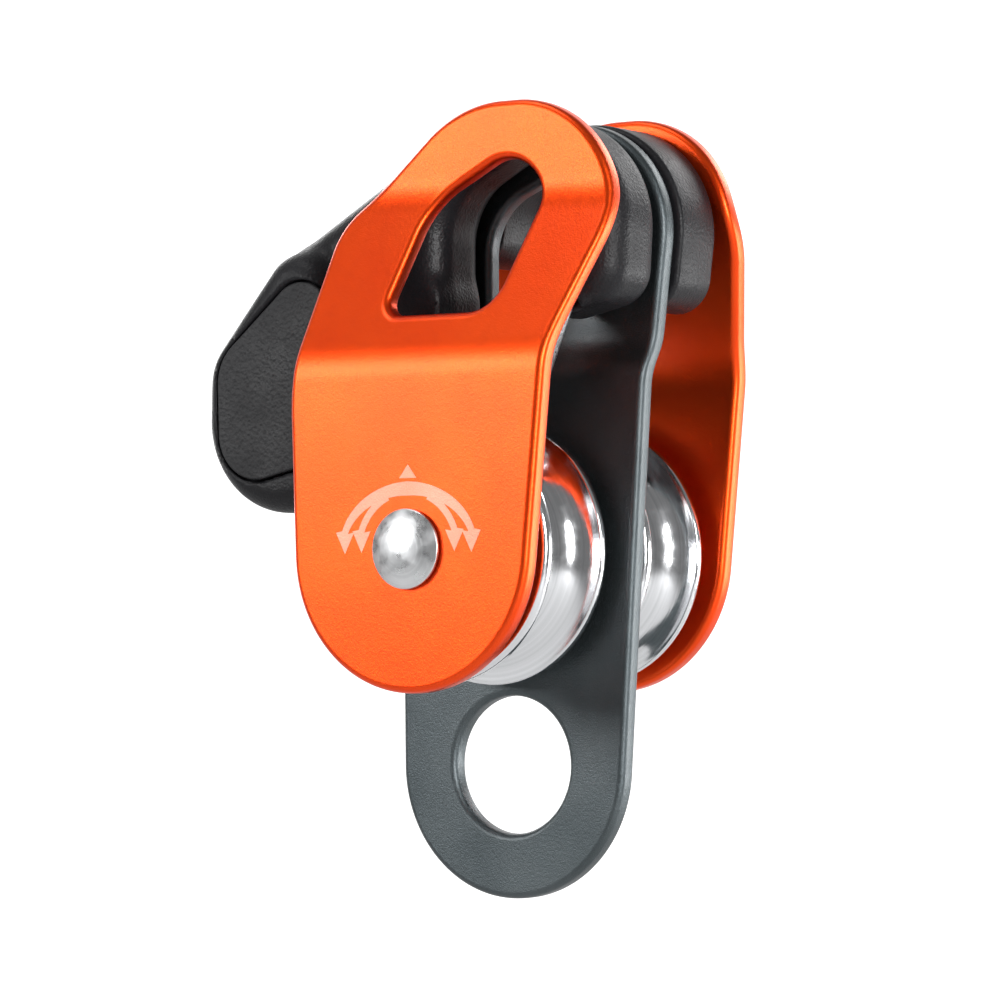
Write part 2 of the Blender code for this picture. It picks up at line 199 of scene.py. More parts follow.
def plateSurface(loops, front, rear, edge, lattice=0.9, arcSteps=5):
    # A plate: a narrow flat, a quarter-round, wall, quarter-round and flat carried along each loop, and a
    # lattice of points between them on both faces. Each loop is (points, normals out of the material).
    # Along the quarter-round the inset is edge (1 - sin a), and the depth edge (1 - cos a).
    turn = np.linspace(0, np.pi / 2, arcSteps + 1)
    flats = [edge + min(edge, narrowFlat), edge + narrowFlat / 10]
    inset = np.concatenate([flats, edge * (1 - np.sin(turn))])
    depth = np.concatenate([[0.0, 0.0], edge * (1 - np.cos(turn))])
    inset = np.concatenate([inset, inset[::-1]])
    depth = np.concatenate([front + depth, (rear - depth)[::-1]])
    points, faces, rims, start = [], [], [], 0
    for line, normals in loops:
        grid = line[None] - normals[None] * inset[:, None, None]
        level = np.broadcast_to(depth[:, None, None], grid.shape[:2] + (1,))
        points.append(np.concatenate([grid[..., :1], level, grid[..., 1:]], -1).reshape(-1, 3))
        quads = gridFaces(len(inset), len(line), offset=start)
        ahead = np.roll(line, -1, axis=0) - line
        clockwise = (ahead[:, 0] * normals[:, 1] - ahead[:, 1] * normals[:, 0]).sum() > 0
        faces += (quads if clockwise else quads[:, ::-1]).tolist()
        rims.append((start + np.arange(len(line)), grid[0]))
        start += grid.shape[0] * grid.shape[1]
    rows = len(inset)
    # The triangulation holds 32-bit numbers, so the tests use the same ones
    rimFlat = [flat.astype(np.float32).astype(float) for _, flat in rims]
    outer = rimFlat[0]
    xs = np.arange(outer[:, 0].min(), outer[:, 0].max(), lattice)
    zs = np.arange(outer[:, 1].min(), outer[:, 1].max(), lattice * 0.6)
    flat = np.stack(np.meshgrid(xs, zs, indexing="ij"), -1)
    flat[..., 0] += lattice / 2 * (np.arange(len(zs)) % 2)[None]
    flat = flat.reshape(-1, 2)
    flat = flat[insideLoops(flat, rimFlat)]
    clear = np.full(len(flat), True)
    for loop in rimFlat:
        for part in np.array_split(np.arange(len(flat)), max(1, len(flat) // 2000)):
            gap = np.hypot(flat[part, 0][:, None] - loop[:, 0], flat[part, 1][:, None] - loop[:, 1]).min(1)
            clear[part] &= gap > lattice * 0.45
    flat = flat[clear]
    border = np.concatenate(rimFlat)
    links, count = [], 0
    for loop in rimFlat:
        index = np.arange(len(loop))
        links += np.stack([index + count, (index + 1) % len(loop) + count], 1).tolist()
        count += len(loop)
    every = np.concatenate([border, flat]).astype(np.float32).astype(float)
    found = delaunay_2d_cdt([Vector(p) for p in every.tolist()], links, [], 0, 1e-6)
    source = np.array([origin[0] for origin in found[3]])
    triangles = source[np.array(found[2])]
    triangles = triangles[insideLoops(every[triangles].mean(1), rimFlat)]
    a, b, c = every[triangles[:, 0]], every[triangles[:, 1]], every[triangles[:, 2]]
    turned = (b[:, 0] - a[:, 0]) * (c[:, 1] - a[:, 1]) - (b[:, 1] - a[:, 1]) * (c[:, 0] - a[:, 0]) < 0
    triangles = np.where(turned[:, None], triangles[:, ::-1], triangles)
    frontRim = np.concatenate([index for index, _ in rims])
    rearRim = np.concatenate([index + (rows - 1) * len(index) for index, _ in rims])
    for level, rim, order in ((front, frontRim, 1), (rear, rearRim, -1)):
        points.append(np.stack([flat[:, 0], np.full(len(flat), level), flat[:, 1]], 1))
        lookup = np.concatenate([rim, start + np.arange(len(flat))])
        start += len(flat)
        faces += lookup[triangles][:, ::order].tolist()
    return np.concatenate(points), faces


def bent(points, low, high, shift, softness):
    # Depth gained over two opposite bends, each an even curve 2 x softness long, with a slope between them
    slope = shift / (high - low)
    total = np.zeros(len(points))
    for line, sign in ((low, slope), (high, -slope)):
        reach = np.clip(points[:, 2] - line, -softness, None)
        curved = (reach + softness) ** 2 / (4 * softness)
        total += sign * np.where(reach > softness, reach, curved)
    points = points.copy()
    points[:, 1] += total
    return points


def turnedSurface(profile, centre, steps=128):
    # Surface of revolution: centre + radius(u) (cos v, sin v) in x and z, and depth(u) in y.
    # A profile that starts and ends on the axis is closed by two poles, any other is a ring.
    profile = np.asarray(profile, float)
    poles = profile[0, 0] < 1e-6
    ring = profile[1:-1] if poles else profile
    angle = np.arange(steps) * 2 * np.pi / steps
    x = centre[0] + ring[:, :1] * np.cos(angle)
    z = centre[1] + ring[:, :1] * np.sin(angle)
    y = np.broadcast_to(ring[:, 1:], x.shape)
    points = np.stack([x, y, z], -1).reshape(-1, 3)
    faces = gridFaces(len(ring), steps, wrapRows=not poles).tolist()
    if poles:
        count, j = len(points), np.arange(steps)
        ends = [[centre[0], profile[0, 1], centre[1]], [centre[0], profile[-1, 1], centre[1]]]
        points = np.concatenate([points, ends])
        last = (len(ring) - 1) * steps
        faces += np.stack([np.full(steps, count), (j + 1) % steps, j], 1).tolist()
        faces += np.stack([np.full(steps, count + 1), last + j, last + (j + 1) % steps], 1).tolist()
    return points, faces


def tubeSurface(path, radius, sides=12):
    # A round profile carried along a path, on side vectors square to it, with a pole at each end
    along = np.gradient(path, axis=0)
    along /= np.linalg.norm(along, axis=1)[:, None]
    across = np.cross(along, [0.0, 1.0, 0.0])
    across /= np.linalg.norm(across, axis=1)[:, None]
    upward = np.cross(along, across)
    angle = np.arange(sides) * 2 * np.pi / sides
    offset = across[:, None] * np.cos(angle)[None, :, None] + upward[:, None] * np.sin(angle)[None, :, None]
    points = (path[:, None] + radius * offset).reshape(-1, 3)
    faces = gridFaces(len(path), sides).tolist()
    count, j, last = len(points), np.arange(sides), (len(path) - 1) * sides
    points = np.concatenate([points, path[:1], path[-1:]])
    faces += np.stack([np.full(sides, count), (j + 1) % sides, j], 1).tolist()
    faces += np.stack([np.full(sides, count + 1), last + j, last + (j + 1) % sides], 1).tolist()
    return points, faces


# Solids given by a distance formula, negative inside


def slab(flat, depth, front, rear, edge):
    # An outline's distance carried through a depth, with both rims rounded
    a = flat + edge
    b = abs(depth - (front + rear) / 2) - (rear - front) / 2 + edge
    return np.hypot(np.maximum(a, 0), np.maximum(b, 0)) + np.minimum(np.maximum(a, b), 0) - edge


def merged(a, b, blend):
    # Smooth union: the smaller distance, with a fillet of about the blend's size where both are alike
    share = np.clip(0.5 + 0.5 * (b - a) / blend, 0, 1)
    return b + (a - b) * share - blend * share * (1 - share)


def cutOut(a, b, blend):
    return -merged(-a, b, blend)


def solidSurface(distance, low, high, cell):
    # The surface where distance is 0: one point per grid cell that it crosses, moved on to the surface
    # along the slope of the distance, and one quad per grid edge that it crosses
    axes = [np.arange(a - cell, b + 2 * cell, cell) for a, b in zip(low, high)]
    grid = np.stack(np.meshgrid(*axes, indexing="ij"), -1)
    value = distance(grid.reshape(-1, 3)).reshape(grid.shape[:3])
    inside = value < 0
    nx, ny, nz = inside.shape
    corners = [
        (slice(i, nx - 1 + i), slice(j, ny - 1 + j), slice(k, nz - 1 + k))
        for i in (0, 1) for j in (0, 1) for k in (0, 1)
    ]
    count = sum(inside[c].astype(int) for c in corners)
    active = (count > 0) & (count < 8)
    index = np.full(active.shape, -1)
    index[active] = np.arange(active.sum())
    weight = sum(1 / (abs(value[c][active]) + 1e-3) for c in corners)[:, None]
    points = sum(grid[c][active] / (abs(value[c][active]) + 1e-3)[:, None] for c in corners) / weight
    for _ in range(3):
        here = distance(points)
        nudge = cell * 0.02
        slope = np.stack([(distance(points + nudge * np.eye(3)[k]) - here) / nudge for k in range(3)], 1)
        step = here[:, None] * slope / np.maximum((slope ** 2).sum(1), 0.2)[:, None]
        points = points - np.clip(step, -cell * 0.6, cell * 0.6)
    faces = []
    for axis in range(3):
        u, v = (axis + 1) % 3, (axis + 2) % 3
        near = [slice(1, -1)] * 3
        near[axis] = slice(0, -1)
        far = list(near)
        far[axis] = slice(1, None)
        start, end = inside[tuple(near)], inside[tuple(far)]
        cells = []
        for du, dv in ((0, 0), (1, 0), (1, 1), (0, 1)):
            pick = [slice(None)] * 3
            pick[u] = slice(du, du + start.shape[u])
            pick[v] = slice(dv, dv + start.shape[v])
            cells.append(index[tuple(pick)])
        for crossing, order in ((start & ~end, 1), (end & ~start, -1)):
            faces.append(np.stack([c[crossing] for c in cells], 1)[:, ::order])
    return points, np.concatenate(faces).tolist()


# Finishes


def newFinish(name, colour, roughness, metallic):
    material = bpy.data.materials.new(name)
    material.use_nodes = True
    shader = material.node_tree.nodes["Principled BSDF"]
    shader.inputs["Base Color"].default_value = (*colour, 1)
    shader.inputs["Roughness"].default_value = roughness
    shader.inputs["Metallic"].default_value = metallic
    return material, material.node_tree, shader


def addNode(tree, kind, **values):
    node = tree.nodes.new(kind)
    for key, value in values.items():
        if key in node.inputs:
            node.inputs[key].default_value = value
        else:
            setattr(node, key, value)
    return node


def noiseAt(tree, scale, detail):
    place = addNode(tree, "ShaderNodeTexCoord")
    noise = addNode(tree, "ShaderNodeTexNoise", Scale=scale, Detail=detail)
    tree.links.new(place.outputs["Object"], noise.inputs["Vector"])
    return noise.outputs["Fac"]


def spread(tree, value, low, high, fromLow=0.3, fromHigh=0.7):
    node = addNode(tree, "ShaderNodeMapRange")
    node.inputs["From Min"].default_value = fromLow
    node.inputs["From Max"].default_value = fromHigh
    node.inputs["To Min"].default_value = low
    node.inputs["To Max"].default_value = high
    tree.links.new(value, node.inputs["Value"])
    return node.outputs["Result"]


def shades(tree, value, stops):
    # A blend between two colours: each stop is (value, colour)
    ramp = addNode(tree, "ShaderNodeValToRGB")
    for stop, (place, colour) in zip(ramp.color_ramp.elements, stops):
        stop.position = place
        stop.color = (*colour, 1)
    tree.links.new(value, ramp.inputs["Fac"])
    return ramp.outputs["Color"]


def bumpFrom(tree, shader, heights):
    # Bumps in a row: each is (height output, depth in metres)
    normal = None
    for height, depth in heights:
        bump = addNode(tree, "ShaderNodeBump", Strength=1.0, Distance=depth)
        tree.links.new(height, bump.inputs["Height"])
        if normal:
            tree.links.new(normal, bump.inputs["Normal"])
        normal = bump.outputs["Normal"]
    tree.links.new(normal, shader.inputs["Normal"])


def anodised(name, deep, bright, roughness, grain, grainDepth, coat=0.0):
    # Blasted and anodised: fine grain, faint cloudiness of the dye, a clear oxide layer over it
    material, tree, shader = newFinish(name, bright, roughness, 1.0)
    shader.inputs["Coat Weight"].default_value = coat
    shader.inputs["Coat Roughness"].default_value = 0.3
    fine = noiseAt(tree, grain, 3.0)
    coarse = noiseAt(tree, grain * 0.4, 2.0)
    cloud = noiseAt(tree, 90, 3.0)
    tree.links.new(shades(tree, cloud, [(0.3, deep), (0.7, bright)]), shader.inputs["Base Color"])
    tree.links.new(spread(tree, fine, roughness - 0.05, roughness + 0.06), shader.inputs["Roughness"])
    bumpFrom(tree, shader, [(fine, grainDepth), (coarse, grainDepth * 0.6)])
    return material


def turnedMetal(name, colour, roughness, lines, lineDepth):
    # Lathe lines round the axle: noise read only from the radius and the depth
    material, tree, shader = newFinish(name, colour, roughness, 1.0)
    place = addNode(tree, "ShaderNodeTexCoord")
    split = addNode(tree, "ShaderNodeSeparateXYZ")
    tree.links.new(place.outputs["Object"], split.inputs["Vector"])
    offsets = []
    for axis, centre in (("X", axleMiddle[0]), ("Z", axleMiddle[2])):
        shift = addNode(tree, "ShaderNodeMath", operation="SUBTRACT")
        shift.inputs[1].default_value = centre
        tree.links.new(split.outputs[axis], shift.inputs[0])
        square = addNode(tree, "ShaderNodeMath", operation="MULTIPLY")
        tree.links.new(shift.outputs[0], square.inputs[0])
        tree.links.new(shift.outputs[0], square.inputs[1])
        offsets.append(square.outputs[0])
    total = addNode(tree, "ShaderNodeMath", operation="ADD")
    tree.links.new(offsets[0], total.inputs[0])
    tree.links.new(offsets[1], total.inputs[1])
    radius = addNode(tree, "ShaderNodeMath", operation="SQRT")
    tree.links.new(total.outputs[0], radius.inputs[0])
    around = addNode(tree, "ShaderNodeCombineXYZ")
    tree.links.new(radius.outputs[0], around.inputs["X"])
    tree.links.new(split.outputs["Y"], around.inputs["Y"])
    groove = addNode(tree, "ShaderNodeTexNoise", Scale=lines, Detail=3.0)
    tree.links.new(around.outputs[0], groove.inputs["Vector"])
    scuff = noiseAt(tree, 500, 4.0)
    worn = spread(tree, scuff, roughness * 0.8, roughness * 1.7, 0.35, 0.75)
    tree.links.new(worn, shader.inputs["Roughness"])
    darker = tuple(c * 0.86 for c in colour)
    lined = shades(tree, groove.outputs["Fac"], [(0.35, darker), (0.6, colour)])
    tree.links.new(lined, shader.inputs["Base Color"])
    bumpFrom(tree, shader, [(groove.outputs["Fac"], lineDepth), (scuff, lineDepth * 0.5)])
    return material


def grainedPlastic(name, colour, roughness, grain, grainDepth, specular=0.3):
    # Moulded nylon: pebbled grain, a slight sheen, and rubbed patches that are a little glossier
    material, tree, shader = newFinish(name, colour, roughness, 0.0)
    shader.inputs["Specular IOR Level"].default_value = specular
    pebble = addNode(tree, "ShaderNodeTexVoronoi", Scale=grain, feature="SMOOTH_F1")
    place = addNode(tree, "ShaderNodeTexCoord")
    tree.links.new(place.outputs["Object"], pebble.inputs["Vector"])
    fine = noiseAt(tree, grain * 1.7, 3.0)
    rubbed = noiseAt(tree, 120, 3.0)
    lighter = tuple(c * 1.5 for c in colour)
    tree.links.new(shades(tree, fine, [(0.35, colour), (0.75, lighter)]), shader.inputs["Base Color"])
    tree.links.new(spread(tree, rubbed, roughness - 0.07, roughness + 0.07), shader.inputs["Roughness"])
    bumpFrom(tree, shader, [(pebble.outputs["Distance"], grainDepth), (fine, grainDepth * 0.6)])
    return material


# Colours are (red, green, blue); after them come roughness, grain per metre, grain depth in metres, and
# the clear coat of an anodised finish or the shine of a plastic one.
finishes = {
    "orange": anodised(
        "orangeAnodised", (0.9, 0.06, 0.0005), (0.94, 0.074, 0.001), 0.36, 5200, 0.00003, 0.32
    ),
    "grey": anodised(
        "greyAnodised", (0.064, 0.078, 0.084), (0.088, 0.104, 0.11), 0.44, 5200, 0.00007, 0.35
    ),
    "sheave": turnedMetal("turnedAluminium", (0.8, 0.81, 0.83), 0.13, 2600, 0.000012),
    "rivet": turnedMetal("polishedSteel", (0.72, 0.73, 0.74), 0.3, 1500, 0.00002),
    "pin": turnedMetal("satinSteel", (0.52, 0.52, 0.53), 0.3, 1800, 0.00001),
    "cam": anodised("tumbledSteel", (0.34, 0.34, 0.35), (0.46, 0.46, 0.47), 0.3, 2200, 0.00003),
    "bronze": anodised("sinteredBronze", (0.4, 0.22, 0.08), (0.6, 0.36, 0.15), 0.4, 4500, 0.00002),
    "nylon": grainedPlastic("blackNylon", (0.010, 0.010, 0.0115), 0.42, 2600, 0.00005, 0.2),
    "grip": grainedPlastic("grainedGrip", (0.013, 0.013, 0.0145), 0.5, 1900, 0.00009),
    "acetal": grainedPlastic("naturalAcetal", (0.45, 0.45, 0.43), 0.35, 2600, 0.00001),
    "mark": anodised("laserMark", (0.62, 0.3, 0.2), (0.68, 0.36, 0.26), 0.5, 3600, 0.00003),
}
print("finishes ready:", len(finishes))


# Side plates

sidePlate = {
    "outline": [
        (0.0, 0.0, 19.3), (51.6, 22.0, -30.0), (10.3, 44.7, 16.0),
        (7.9, 41.9, 18.8), (-8.9, 40.4, 9.0), (10.0, 19.5, 30.0),
    ],
    "eye": [(-3.6, 34.0, 2.4), (7.4, 36.6, 5.0), (8.9, 46.9, 5.9), (4.6, 41.2, 9.0)],
    "thickness": 3.0,
    "edge": 0.95,
    "bends": (25.6, 48.4),
    "bendTilt": -0.04,
    "softness": 2.4,
    "axleHole": 4.2,
    "eyeSpacing": 0.3,
}


def holeLoop(line):
    points, normals = line
    return points, -normals


def makeSidePlates():
    for node, body, side in (("front_side_plate", "front_plate", -1), ("rear_side_plate", "rear_plate", 1)):
        low, high = drawn(node)
        outer = high[1] if side > 0 else -low[1]
        step = high[1] - low[1] - sidePlate["thickness"]
        depths = sorted((side * outer, side * (outer - sidePlate["thickness"])))
        loops = [
            beltLine(sidePlate["outline"]),
            holeLoop(beltLine(sidePlate["eye"], sidePlate["eyeSpacing"])),
            holeLoop(ringLine((0, 0), sidePlate["axleHole"])),
        ]
        points, faces = plateSurface(loops, *depths, sidePlate["edge"])
        lowBend, highBend = sidePlate["bends"]
        highBend = highBend + sidePlate["bendTilt"] * points[:, 0]
        points = bent(points, lowBend, highBend, -side * step, sidePlate["softness"])
        name = "frontSidePlate" if side < 0 else "rearSidePlate"
        addPiece(name, points, faces, body, [node], finishes["orange"])


makeSidePlates()
print("side plates made")


# Laser-marked load signs on the front plate: two arrows to each side and a point above them. An arrow is
# (across, upward, start angle, end angle, half width at the start, half width at the end).

loadMarks = {
    "outerArrow": (10.9, 8.1, 90.0, 17.0, 0.95, 0.5),
    "innerArrow": (8.1, 7.7, 66.0, 19.0, 0.5, 0.5),
    "headLength": 2.9,
    "headWidth": 1.5,
    "point": ((-1.4, 9.5), (1.4, 9.5), (0.0, 11.3)),
    "proud": (0.02, 0.03, 0.03, 0.02, 0.02),
    "sunk": 0.1,
}


def arrowLine(across, upward, startAngle, endAngle, startHalf, endHalf):
    # A band along an ellipse (across cos t, upward sin t) that narrows towards an arrowhead
    t = np.radians(np.linspace(startAngle, endAngle, 24))
    path = np.stack([across * np.cos(t), upward * np.sin(t)], 1)
    along = np.gradient(path, axis=0)
    along /= np.hypot(along[:, 0], along[:, 1])[:, None]
    side = np.stack([-along[:, 1], along[:, 0]], 1)
    half = np.linspace(startHalf, endHalf, len(t))[:, None]
    tip = path[-1] + np.array([0.0, -1.0]) * loadMarks["headLength"]
    wing = np.array([loadMarks["headWidth"], 0.0])
    head = np.array([path[-1] - wing, tip, path[-1] + wing])
    return np.concatenate([path - side * half, head, (path + side * half)[::-1]])


def thinSign(outline, front, rear, start):
    # A flat closed sign: its outline filled on both sides, and a wall. The sum of x z' - x' z over its
    # corners is twice its area, and negative if the outline runs clockwise.
    count = len(outline)
    following = np.roll(outline, -1, axis=0)
    area = (outline[:, 0] * following[:, 1] - following[:, 0] * outline[:, 1]).sum()
    line = outline if area > 0 else outline[::-1]
    points = [np.stack([line[:, 0], np.full(count, depth), line[:, 1]], 1) for depth in (front, rear)]
    index = np.arange(count)
    ahead = (index + 1) % count
    walls = np.stack([index, index + count, ahead + count, ahead], 1) + start
    sides = [(index + start).tolist(), (index[::-1] + count + start).tolist()]
    return np.concatenate(points), sides + walls.tolist()


def makeLoadMarks():
    face = drawn("front_side_plate")[0][1]
    outlines = [np.array(loadMarks["point"])]
    for arrow in ("outerArrow", "innerArrow"):
        outline = arrowLine(*loadMarks[arrow])
        outlines += [outline, outline * [-1, 1]]
    points, faces, start = [], [], 0
    for outline, proud in zip(outlines, loadMarks["proud"]):
        signPoints, signFaces = thinSign(outline, face - proud, face + loadMarks["sunk"], start)
        points.append(signPoints)
        faces += signFaces
        start += len(signPoints)
    points = np.concatenate(points)
    signs = addPiece("loadMarks", points, faces, "front_plate", [], finishes["mark"])
    signs.data.shade_flat()


makeLoadMarks()
print("load signs made")


# Centre plate

centrePlate = {
    "outline": [
        (0.0, -29.2, 18.4), (52.5, 20.0, -31.0), (8.6, 43.6, 15.4),
        (6.6, 41.0, 18.0), (-8.0, 40.0, 9.0), (10.0, 15.0, 29.0),
    ],
    "upperEye": [
        (-2.4, 34.2, 2.6), (0.2, 33.6, 2.0), (9.8, 35.2, -6.4),
        (13.2, 43.6, 1.6), (8.9, 46.9, 5.9), (3.9, 41.5, 8.9),
    ],
    "lowerEye": (0, -29.2),
    "lowerEyeRadius": 9.5,
    "eyeSpacing": 0.3,
    "edge": 0.9,
    "bends": (24.5, 28.5, 1.9),
    "softness": 1.6,
    "axleHole": 4.2,
}


def makeCentrePlate():
    low, high = drawn("centre_plate")
    thickness = high[1] - low[1] - centrePlate["bends"][2]
    loops = [
        beltLine(centrePlate["outline"]),
        holeLoop(beltLine(centrePlate["upperEye"], centrePlate["eyeSpacing"])),
        holeLoop(ringLine((0, 0), centrePlate["axleHole"])),
        holeLoop(ringLine(centrePlate["lowerEye"], centrePlate["lowerEyeRadius"])),
    ]
    points, faces = plateSurface(loops, low[1], low[1] + thickness, centrePlate["edge"])
    points = bent(points, *centrePlate["bends"], centrePlate["softness"])
    addPiece("centrePlate", points, faces, "frame", ["centre_plate"], finishes["grey"])


makeCentrePlate()
print("centre plate made")


# Sheaves, with their bushes, sleeves and washers

sheave = {
    "rim": 18.2,
    "grooveRadius": 5.9,
    "grooveFloor": 13.0,
    "rimFillet": 0.35,
    "recess": (9.6, 15.6, 0.8),
    "bore": 7.5,
    "sideFillets": (0.3, 0.3, 0.4, 0.4, 0.3, 0.9),
}


def makeSheaves():
    for place in ("front", "rear"):
        low, high = drawn(f"{place}_sheave")
        centre, half = (low[1] + high[1]) / 2, (high[1] - low[1]) / 2
        # Groove: an arc (middle radius - r cos a, r sin a) that starts and ends at the rim
        rim, arc = sheave["rim"], sheave["grooveRadius"]
        middleRadius = sheave["grooveFloor"] + arc
        reach = math.acos((middleRadius - rim) / arc) * np.linspace(1, -1, 33)
        groove = np.stack([middleRadius - arc * np.cos(reach), arc * np.sin(reach)], 1)
        inner, outer, deep = sheave["recess"]
        bore = sheave["bore"]
        radii = (bore, inner, inner + deep, outer - deep, outer, rim)
        side = list(zip(radii, (0.0, 0.0, -deep, -deep, 0.0, 0.0), sheave["sideFillets"]))
        rearSide = [(r, half + d, f) for r, d, f in side]
        frontSide = [(r, -half - d, f) for r, d, f in side[::-1]]
        lip = groove[0, 1]
        corners = rearSide + [(rim, lip, sheave["rimFillet"])]
        corners += [(r, y, 0) for r, y in groove[1:-1]]
        corners += [(rim, -lip, sheave["rimFillet"])] + frontSide
        profile = filleted(corners, 5)
        profile[:, 1] += centre
        points, faces = turnedSurface(profile, (0, 0), 192)
        body, node = f"{place}_wheel", f"{place}_sheave"
        addPiece(f"{place}Sheave", points, faces, body, [node], finishes["sheave"])


makeSheaves()
print("sheaves made")


def makeRing(name, node, body, finish, inner, fillet=0.25, steps=128):
    # A plain ring or washer in its node's own box
    low, high = drawn(node)
    outer = (high[0] - low[0]) / 2
    corners = [(inner, low[1]), (outer, low[1]), (outer, high[1]), (inner, high[1])]
    profile = filleted([(r, y, fillet) for r, y in corners[::-1]])
    centre = middle(node)
    points, faces = turnedSurface(profile, (centre[0], centre[2]), steps)
    addPiece(name, points, faces, body, [node], finishes[finish])


axleStack = {"bushBore": 5.8, "sleeveBore": 4.2, "washerBore": 4.2}


def makeAxleStack():
    for place in ("front", "rear"):
        bushBore, sleeveBore, washerBore = (axleStack[k] for k in ("bushBore", "sleeveBore", "washerBore"))
        makeRing(f"{place}Bush", f"{place}_bush", f"{place}_wheel", "bronze", bushBore)
        makeRing(f"{place}Sleeve", f"{place}_sleeve", "frame", "pin", sleeveBore)
        for side in ("outer", "inner"):
            name, node = f"{place}{side.capitalize()}Washer", f"{place}_{side}_spacer"
            makeRing(name, node, "frame", "acetal", washerBore)


makeAxleStack()


# Axle: a shank, a domed front head and the riveted rear head

axleShape = {
    "shank": 3.9,
    "shankFillet": 0.3,
    "headWall": 0.45,
    "headFillet": 0.22,
    "headFootFillet": 0.1,
    "headSunk": 0.3,
    "rearHeadGap": 0.3,
}


def domed(radius, base, wall, top, steps=14):
    # Half of a head seen from the side, from its pole out to the top of its wall. The dome is an arc of the
    # sphere through both: its radius is (head radius squared + rise squared) / (2 rise).
    rise = abs(top - base) - wall
    sphere = (radius**2 + rise**2) / (2 * rise)
    angle = math.asin(radius / sphere) * np.linspace(0, 1, steps)
    toward = 1 if top > base else -1
    return np.stack([sphere * np.sin(angle), top - toward * sphere * (1 - np.cos(angle))], 1)


def makeAxle():
    low, high = drawn("axle")
    rearLow, rearHigh = drawn("axle_rear_head")
    head = (high[0] - low[0]) / 2
    shank, foot = axleShape["shank"], axleShape["headFootFillet"]
    plateFace = drawn("front_side_plate")[0][1]
    base = plateFace - axleShape["headSunk"]
    front = domed(head, base, axleShape["headWall"], low[1])
    corners = [(0, high[1], 0), (shank, high[1], axleShape["shankFillet"])]
    corners += [(shank, base, 0), (head, base, foot)]
    corners += [(front[-1, 0], front[-1, 1], axleShape["headFillet"])]
    corners += [(r, y, 0) for r, y in front[::-1][1:]]
    points, faces = turnedSurface(filleted(corners, 5), (0, 0))
    addPiece("axle", points, faces, "frame", ["axle"], finishes["rivet"])
    rear = domed(head, rearLow[1], axleShape["headWall"], rearHigh[1])
    gap = axleShape["rearHeadGap"]
    inner, floor = shank + gap, high[1] + gap
    corners = [(r, y, 0) for r, y in rear[:-1]] + [(rear[-1, 0], rear[-1, 1], axleShape["headFillet"])]
    corners += [(head, rearLow[1], foot), (inner, rearLow[1], 0), (inner, floor, 0), (0, floor, 0)]
    points, faces = turnedSurface(filleted(corners, 5), (0, 0))
    addPiece("axleRearHead", points, faces, "frame", ["axle_rear_head"], finishes["rivet"])


makeAxle()
print("axle and its stack made")


# Thumb lever and its grip

lever = {
    "arch": [
        (13.2, 36.4, 4.8), (18.6, 38.2, 5.4), (9.0, 43.8, 15.3),
        (4.9, 40.8, 19.3), (-24.5, 35.5, 9.3), (-31.0, 32.5, 2.5), (-8.2, 34.5, 3.2),
        (4.4, 42.6, -9.4), (8.9, 47.4, -7.3), (14.3, 43.2, -1.8),
    ],
    "body": [(-6.6, 22.2, 1.6), (-8.2, 34.3, 3.2), (-24.0, 33.0, 4.0), (-26.0, 22.0, 4.0)],
    "paddle": [(-27.3, 36.0, 6.0), (-34.6, 23.9, 8.3), (-29.8, 19.0, 13.2)],
    "panel": [(-23.6, 17.2, 4.6), (-25.9, 32.6, 5.2), (-33.5, 24.0, 6.9), (-33.4, 17.2, 6.8)],
    "pivot": (13.2, 36.4),
    "archFront": -12.4,
    "archEdge": 4.4,
    "bodyFront": -12.0,
    "bodyRear": -2.1,
    "bodyEdge": 1.0,
    "paddleRear": -2.6,
    "paddleEdge": 3.4,
    "blend": 2.4,
    "panelDepth": 1.4,
    "panelGap": 0.3,
    "pocketEdge": 0.2,
    "pocketBlend": 0.35,
    "slotRearGap": 0.3,
    "slotBlend": 0.3,
    "hubRoomRadius": 3.9,
    "hubRoomRear": -3.6,
    "gripSunk": 0.15,
    "gripEdge": 0.3,
    "cell": 0.4,
}
pastFace = 5.0
camShape = {
    "outline": [
        (13.2, 36.4, 4.0), (1.5, 37.5, -7.0), (-9.4, 26.8, 2.8),
        (-6.8, 23.6, 2.4), (3.2, 41.0, 21.6), (10.0, 22.1, 1.6),
    ],
    "face": (3.2, 41.0, 21.6),
    "toothAngles": (-106.0, -98.5, -91.0, -83.5, -76.0),
    "toothHeight": 1.0,
    "toothGap": 1.7,
    "toothRadius": 0.75,
    "toothFoot": 0.5,
    "toothFlat": 0.1,
    "toothSteepness": 0.8,
    "edge": 0.5,
    "blend": 0.25,
    "thickness": 5.1,
    "flangeGap": 0.3,
    "slotGap": 0.9,
    "pinHole": 2.3,
    "headHole": 3.3,
    "headHoleDepth": 1.5,
    "headHoleEdge": 0.1,
    "cell": 0.24,
}


